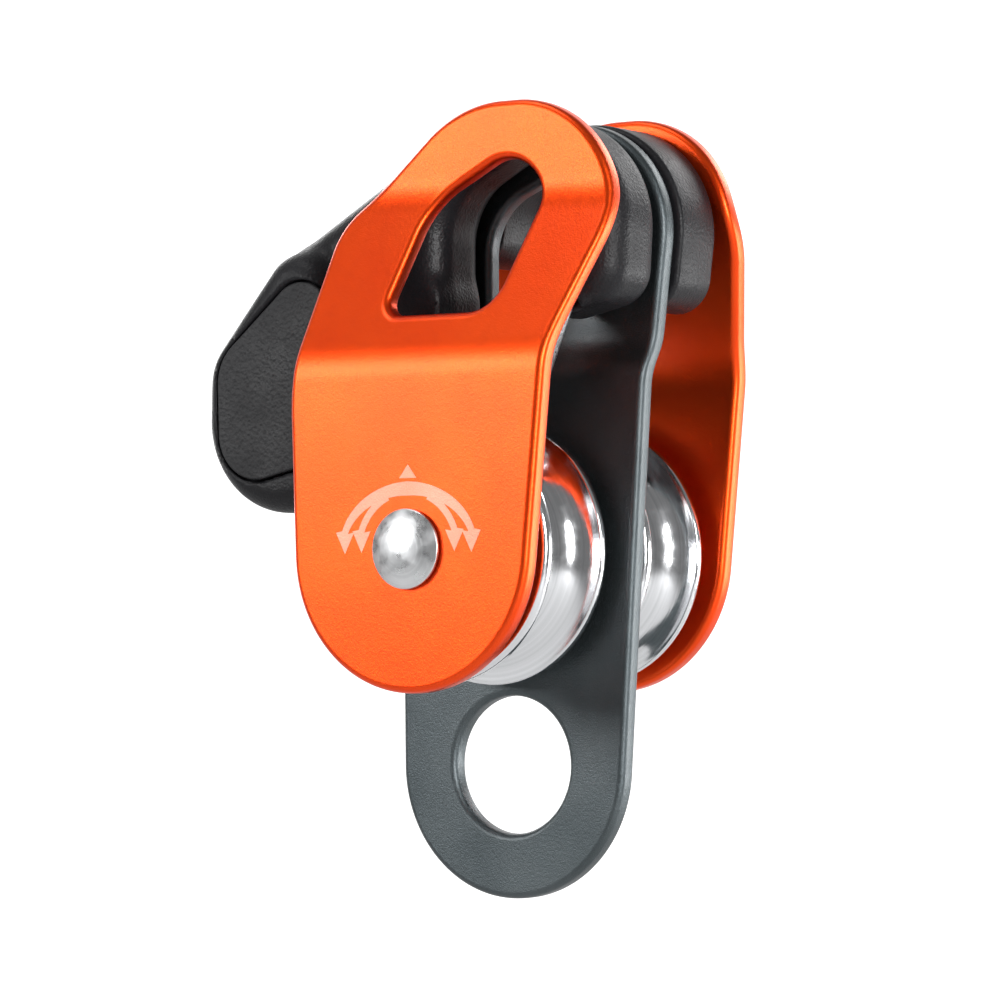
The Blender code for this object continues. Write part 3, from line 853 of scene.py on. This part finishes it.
def leverDistance(p):
    # Arch, body and paddle in one, less the grip's pocket, the cam's slot, room for its washer, and the bore
    low, high = drawn("thumb_lever")
    camHigh = drawn("toothed_cam")[1]
    flat, depth = p[:, [0, 2]], p[:, 1]

    def part(outline, front, rear, edge):
        return slab(beltDistance(outline, flat), depth, front, rear, edge)

    arch = part(lever["arch"], lever["archFront"], high[1], lever["archEdge"])
    body = part(lever["body"], lever["bodyFront"], lever["bodyRear"], lever["bodyEdge"])
    paddle = part(lever["paddle"], low[1], lever["paddleRear"], lever["paddleEdge"])
    solid = merged(merged(arch, body, lever["blend"]), paddle, lever["blend"])
    front, edge = low[1] - pastFace, lever["pocketEdge"]
    panel = beltDistance(lever["panel"], flat) - lever["panelGap"]
    pocket = slab(panel, depth, front, low[1] + lever["panelDepth"], edge)
    solid = cutOut(solid, pocket, lever["pocketBlend"])
    aroundCam = beltDistance(camShape["outline"], flat) - camShape["slotGap"]
    camSlot = slab(aroundCam, depth, front, camHigh[1] + lever["slotRearGap"], edge)
    solid = cutOut(solid, camSlot, lever["slotBlend"])
    fromPivot = np.hypot(flat[:, 0] - lever["pivot"][0], flat[:, 1] - lever["pivot"][1])
    hubRoom = slab(fromPivot - lever["hubRoomRadius"], depth, front, lever["hubRoomRear"], edge)
    return cutOut(solid, np.minimum(hubRoom, fromPivot - camShape["pinHole"]), lever["slotBlend"])


def makeLever():
    low, high = drawn("thumb_lever")
    points, faces = solidSurface(leverDistance, low, high, lever["cell"])
    addPiece("thumbLever", points, faces, "lever", ["thumb_lever"], finishes["nylon"])
    low, high = drawn("grip_insert")
    loops = [beltLine(lever["panel"])]
    points, faces = plateSurface(loops, low[1] + lever["gripSunk"], high[1], lever["gripEdge"])
    addPiece("gripInsert", points, faces, "lever", ["grip_insert"], finishes["grip"])


makeLever()
print("thumb lever made")


# Toothed cam, its pins, washer and spring


def camDistance(p):
    # A plate with rows of cones on its curved face: a cone is where the reach sideways is less than
    # radius (1 - reach outward / height)
    rear = drawn("cam_flange")[0][1] - camShape["flangeGap"]
    front = rear - camShape["thickness"]
    flat, depth = p[:, [0, 2]], p[:, 1]
    solid = slab(beltDistance(camShape["outline"], flat), depth, front, rear, camShape["edge"])
    toothGap, height = camShape["toothGap"], camShape["toothHeight"]
    x, z, radius = camShape["face"]
    for row, degrees in enumerate(camShape["toothAngles"]):
        outward = np.array([math.cos(math.radians(degrees)), math.sin(math.radians(degrees))])
        along = np.array([-outward[1], outward[0]])
        foot = np.array([x, z]) + outward * radius
        reach = (flat - foot) @ outward
        for across in (-toothGap, 0.0, toothGap) if row % 2 == 0 else (-toothGap / 2, toothGap / 2):
            sideways = np.hypot((flat - foot) @ along, depth - (front + rear) / 2 - across)
            cone = sideways - camShape["toothRadius"] * (1 - reach / height)
            tooth = np.maximum(cone * camShape["toothSteepness"], reach - height + camShape["toothFlat"])
            tooth = np.maximum(tooth, -reach - camShape["toothFoot"])
            solid = merged(solid, tooth, camShape["blend"])
    fromPivot = np.hypot(flat[:, 0] - lever["pivot"][0], flat[:, 1] - lever["pivot"][1])
    headHoleRear = front + camShape["headHoleDepth"]
    aroundHead = fromPivot - camShape["headHole"]
    headHole = slab(aroundHead, depth, front - pastFace, headHoleRear, camShape["headHoleEdge"])
    return cutOut(solid, np.minimum(headHole, fromPivot - camShape["pinHole"]), camShape["blend"])


pinShape = {
    "fillet": 0.35,
    "leverPin": 2.0,
    "leverPinHead": 1.2,
    "leverPinFillets": (0.4, 0.1, 0.15, 0.4),
    "flangeFillet": 0.2,
}


def turnedPin(name, node, corners, body, finish, steps=64):
    centre = middle(node)
    points, faces = turnedSurface(filleted(corners), (centre[0], centre[2]), steps)
    addPiece(name, points, faces, body, [node], finishes[finish])


def makeCam():
    low, high = drawn("toothed_cam")
    points, faces = solidSurface(camDistance, low, high, camShape["cell"])
    addPiece("toothedCam", points, faces, "lever", ["toothed_cam"], finishes["cam"])
    for name, node, body, slot in (
        ("camCrossPin", "cam_cross_pin", "lever", "pin_steel"),
        ("stopPin", "stop_pin", "frame", "pin_steel"),
        ("spacerRivetLeft", "spacer_rivet_left", "frame", "pin_steel"),
        ("spacerRivetRight", "spacer_rivet_right", "frame", "pin_steel"),
    ):
        low, high = drawn(node)
        radius, fillet = (high[0] - low[0]) / 2, pinShape["fillet"]
        corners = [(0, high[1], 0), (radius, high[1], fillet), (radius, low[1], fillet), (0, low[1], 0)]
        turnedPin(name, node, corners, body, "pin")
    low, high = drawn("lever_pin")
    pin, head = pinShape["leverPin"], (high[0] - low[0]) / 2
    shoulder = low[1] + pinShape["leverPinHead"]
    turns = ((pin, high[1]), (pin, shoulder), (head, shoulder), (head, low[1]))
    corners = [(r, y, fillet) for (r, y), fillet in zip(turns, pinShape["leverPinFillets"])]
    corners = [(0, high[1], 0), *corners, (0, low[1], 0)]
    turnedPin("leverPin", "lever_pin", corners, "frame", "rivet", 96)
    bore, fillet = camShape["pinHole"], pinShape["flangeFillet"]
    makeRing("camFlange", "cam_flange", "lever", "pin", bore, fillet)


makeCam()


spring = {"wire": 0.4, "turns": 2.5, "coil": 3.1, "stepsPerTurn": 64}


def makeSpring():
    # Helix: radius (cos a, sin a) in x and z while the depth grows evenly with a, on the coil's own box
    low, high = drawn("lever_spring")
    wire, turns, around = spring["wire"], spring["turns"], spring["coil"]
    angle = np.linspace(0, turns * 2 * np.pi, int(turns * spring["stepsPerTurn"]))
    depth = np.linspace(low[1] + wire, high[1] - wire, len(angle))
    x, z = lever["pivot"]
    path = np.stack([x + around * np.cos(angle), depth, z + around * np.sin(angle)], 1)
    points, faces = tubeSurface(path, wire)
    addPiece("leverSpring", points, faces, "frame", ["lever_spring"], finishes["pin"])


makeSpring()
print("cam, pins and spring made")


# Arched spacer behind the centre plate

archSpacer = {
    "outline": [
        (18.9, 38.2, 5.2), (9.3, 43.8, 15.4), (7.0, 41.0, 18.2),
        (-9.5, 45.0, 4.4), (4.6, 43.5, -9.7), (8.9, 46.9, -6.4),
    ],
    "edge": 0.7,
}


def makeArchSpacer():
    low, high = drawn("rear_arch_spacer")
    loops = [beltLine(archSpacer["outline"])]
    points, faces = plateSurface(loops, low[1], high[1], archSpacer["edge"])
    node = "rear_arch_spacer"
    addPiece("rearArchSpacer", points, faces, "frame", [node], finishes["nylon"])


makeArchSpacer()
print("arched spacer made")


# Camera, floor and lights

# Metres and degrees
stageSetup = {
    "azimuth": 34.8,
    "elevation": -2.2,
    "distance": 0.6,
    "lens": 162.0,
    "nearClip": 0.01,
    "aimDepth": 0.0004,
    "aimOffset": (-0.0132, -0.0065),
    "floorDrop": 0.26,
    "floorReach": (-2.0, 1.2),
    "floorHalfWidth": 3.0,
    "floorColour": (0.6, 0.6, 0.6),
    "floorRoughness": 0.9,
    "backdropCurve": ((1.2, 0.0), (1.6, 0.12), (2.0, 0.5)),
    "backdropTop": 3.0,
    "backdropGlow": 0.95,
    "worldStrength": 0.2,
}
lightPlan = [
    # name, place (x, y, z), size (wide, high), power, aimed at the axle
    ("frontSoftbox", (-0.62, -0.85, 0.2), (0.4, 0.36), 4.8),
    ("rightSoftbox", (0.98, -0.5, 0.12), (0.26, 0.5), 11.0),
    ("topSoftbox", (-0.35, -0.45, 0.95), (0.5, 0.4), 2.8),
    ("rearLeftStrip", (-0.9, 0.6, 0.25), (0.2, 0.7), 2.5),
    ("rearRightSoftbox", (0.66, 0.66, -0.12), (0.4, 0.36), 5.0),
    ("rearTopSoftbox", (0.17, 0.78, 0.42), (0.45, 0.28), 2.4),
]


def makeStage():
    azimuth, elevation = math.radians(stageSetup["azimuth"]), math.radians(stageSetup["elevation"])
    level = math.cos(elevation)
    forward = Vector((-math.sin(azimuth) * level, math.cos(azimuth) * level, -math.sin(elevation)))
    right = Vector((math.cos(azimuth), math.sin(azimuth), 0))
    up = right.cross(forward)
    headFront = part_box("axle")[0].y + stageSetup["aimDepth"]
    anchor = Vector((axleMiddle[0], headFront, axleMiddle[2]))
    camera = bpy.data.cameras.new("camera")
    camera.lens = stageSetup["lens"]
    camera.clip_start = stageSetup["nearClip"]
    cameraObject = bpy.data.objects.new("camera", camera)
    bpy.context.scene.collection.objects.link(cameraObject)
    sideways, upward = stageSetup["aimOffset"]
    cameraObject.location = anchor - forward * stageSetup["distance"] - right * sideways - up * upward
    cameraObject.rotation_euler = forward.to_track_quat("-Z", "Y").to_euler()
    bpy.context.scene.camera = cameraObject

    # A level floor, and far behind it a lit backdrop that starts where the floor ends
    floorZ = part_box("centre_plate")[0].z - stageSetup["floorDrop"]
    depth = np.array([forward.x, forward.y]) / math.hypot(forward.x, forward.y)
    wide = np.array([right.x, right.y])
    half = stageSetup["floorHalfWidth"]
    floorRows = [(run, floorZ) for run in stageSetup["floorReach"]]
    backdropRows = [(run, floorZ + rise) for run, rise in stageSetup["backdropCurve"]]
    backdropRows.append((backdropRows[-1][0], stageSetup["backdropTop"]))
    for name, rows, glow in (
        ("floor", floorRows, 0.0),
        ("backdrop", backdropRows, stageSetup["backdropGlow"]),
    ):
        points = [(*(depth * run + wide * side), height) for run, height in rows for side in (-half, half)]
        quads = [(2 * k, 2 * k + 1, 2 * k + 3, 2 * k + 2) for k in range(len(rows) - 1)]
        mesh = bpy.data.meshes.new(name)
        mesh.from_pydata(points, [], quads)
        paper = (name + "Paper", stageSetup["floorColour"], stageSetup["floorRoughness"], 0.0)
        material, _, shader = newFinish(*paper)
        shader.inputs["Emission Color"].default_value = (1, 1, 1, 1)
        shader.inputs["Emission Strength"].default_value = glow
        mesh.materials.append(material)
        piece = bpy.data.objects.new(name, mesh)
        bpy.context.scene.collection.objects.link(piece)

    for name, place, size, power in lightPlan:
        light = bpy.data.lights.new(name, "AREA")
        light.shape = "RECTANGLE"
        light.size, light.size_y = size
        light.energy = power
        lamp = bpy.data.objects.new(name, light)
        lamp.location = Vector(place)
        lamp.rotation_euler = (Vector(axleMiddle) - lamp.location).to_track_quat("-Z", "Y").to_euler()
        bpy.context.scene.collection.objects.link(lamp)
    world = bpy.data.worlds.new("studio")
    world.use_nodes = True
    world.node_tree.nodes["Background"].inputs["Color"].default_value = (1, 1, 1, 1)
    world.node_tree.nodes["Background"].inputs["Strength"].default_value = stageSetup["worldStrength"]
    bpy.context.scene.world = world
    bpy.context.scene.view_settings.view_transform = "Standard"


makeStage()
print("camera, floor and lights placed")
